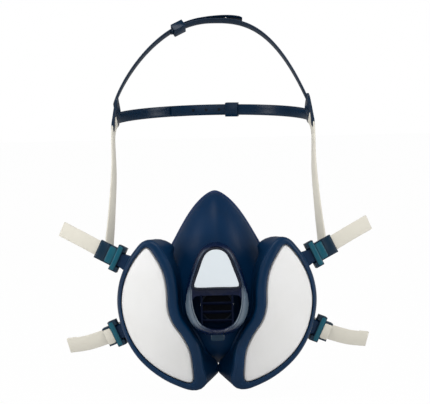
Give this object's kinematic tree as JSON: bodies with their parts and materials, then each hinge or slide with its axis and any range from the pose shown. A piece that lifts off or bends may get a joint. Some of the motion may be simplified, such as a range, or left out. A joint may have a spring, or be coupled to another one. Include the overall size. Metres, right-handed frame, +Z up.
{
  "type": "half mask respirator",
  "caption": "Half-mask respirator with two built-in leaf-shaped filters, a central exhalation valve, elastic straps and an adjustable plastic head cradle.",
  "frame": {"origin": "centre of the mask opening at mouth level, in the plane of the face seal at the cheeks", "axes": "+X to the viewer's right seen from the front, +Y from the front of the mask towards the wearer, +Z up"},
  "size_m": [0.248, 0.2471, 0.2866],
  "materials": {
    "facepiece": "satin elastomer",
    "seal": "matt elastomer",
    "valve_plastic": "satin moulded",
    "valve_rubber": "matt",
    "valve_cover": "gloss moulded",
    "label": "satin film",
    "housing": "satin moulded",
    "filter_frame": "satin moulded",
    "filter_felt": "needled felt",
    "carbon": "granules",
    "inner_felt": "felt",
    "buckle": "satin moulded",
    "elastic": "knitted elastic",
    "cradle": "satin moulded"
  },
  "bodies": {
    "mask": {"facepiece_body": "facepiece", "face_seal": "seal", "exhale_valve_seat": "valve_plastic", "exhale_valve_cover": "valve_cover", "label_plate": "label", "left_filter_housing": "housing", "right_filter_housing": "housing", "left_filter_frame": "filter_frame", "right_filter_frame": "filter_frame", "left_particulate_pad": "filter_felt", "right_particulate_pad": "filter_felt", "left_carbon_bed": "carbon", "right_carbon_bed": "carbon", "left_retaining_felt": "inner_felt", "right_retaining_felt": "inner_felt", "left_inhale_valve_seat": "valve_plastic", "right_inhale_valve_seat": "valve_plastic", "left_upper_strap": "elastic", "right_upper_strap": "elastic", "left_neck_strap": "elastic", "right_neck_strap": "elastic", "neck_clasp_loop": "buckle"},
    "exhale_flap_body": {"exhale_flap": "valve_rubber"},
    "left_inhale_flap_body": {"left_inhale_flap": "valve_rubber"},
    "right_inhale_flap_body": {"right_inhale_flap": "valve_rubber"},
    "left_upper_buckle_body": {"left_upper_buckle": "buckle"},
    "right_upper_buckle_body": {"right_upper_buckle": "buckle"},
    "left_lower_clip_body": {"left_lower_clip": "buckle"},
    "right_lower_clip_body": {"right_lower_clip": "buckle"},
    "cradle": {"left_cradle_half": "cradle", "right_cradle_half": "cradle"},
    "rear_slider_body": {"rear_slider": "cradle"},
    "crown_slider_body": {"crown_slider": "cradle"},
    "neck_hook_body": {"neck_clasp_hook": "buckle"}
  },
  "joints": [
    {"name": "exhale_flap_lift", "type": "hinge", "parent": "mask", "child": "exhale_flap_body", "pos_m": [0, -0.0523, 0.0069], "axis": [-1, 0, 0], "range_deg": [0, 14], "stiffness_Nm_per_rad": 0.002},
    {"name": "left_inhale_flap_lift", "type": "slide", "parent": "mask", "child": "left_inhale_flap_body", "axis": [0.8191, 0.5736, 0], "range_m": [0, 0.0015], "stiffness_N_per_m": 20},
    {"name": "left_upper_buckle_tilt", "type": "hinge", "parent": "mask", "child": "left_upper_buckle_body", "pos_m": [-0.076, -0.019, 0.0295], "axis": [0.4384, 0, 0.8988], "range_deg": [-10, 25]},
    {"name": "left_lower_clip_tilt", "type": "hinge", "parent": "mask", "child": "left_lower_clip_body", "pos_m": [-0.078, -0.021, -0.0284], "axis": [-0.4067, 0, 0.9135], "range_deg": [-10, 25], "deforming": ["left_neck_strap"]},
    {"name": "right_inhale_flap_lift", "type": "slide", "parent": "mask", "child": "right_inhale_flap_body", "axis": [-0.8191, 0.5736, 0], "range_m": [0, 0.0015], "stiffness_N_per_m": 20},
    {"name": "right_upper_buckle_tilt", "type": "hinge", "parent": "mask", "child": "right_upper_buckle_body", "pos_m": [0.076, -0.019, 0.0295], "axis": [-0.4384, 0, 0.8988], "range_deg": [-25, 10]},
    {"name": "right_lower_clip_tilt", "type": "hinge", "parent": "mask", "child": "right_lower_clip_body", "pos_m": [0.078, -0.021, -0.0284], "axis": [0.4067, 0, 0.9135], "range_deg": [-25, 10], "deforming": ["right_neck_strap"]},
    {"name": "harness_stretch", "type": "slide", "parent": "mask", "child": "cradle", "axis": [0, 0.77, 0.638], "range_m": [0, 0.04], "stiffness_N_per_m": 120, "deforming": ["left_upper_strap", "right_upper_strap"]},
    {"name": "rear_slider_slide", "type": "hinge", "parent": "cradle", "child": "rear_slider_body", "pos_m": [0, 0.094, 0.134], "axis": [0, 0, 1], "range_deg": [-4, 8]},
    {"name": "crown_slider_slide", "type": "slide", "parent": "cradle", "child": "crown_slider_body", "axis": [-0.8687, -0.2748, -0.4122], "range_m": [-0.003, 0.003]},
    {"name": "neck_hook_swing", "type": "hinge", "parent": "mask", "child": "neck_hook_body", "pos_m": [0, 0.092, -0.036], "axis": [0, 0, 1], "range_deg": [-15, 15]}
  ]
}
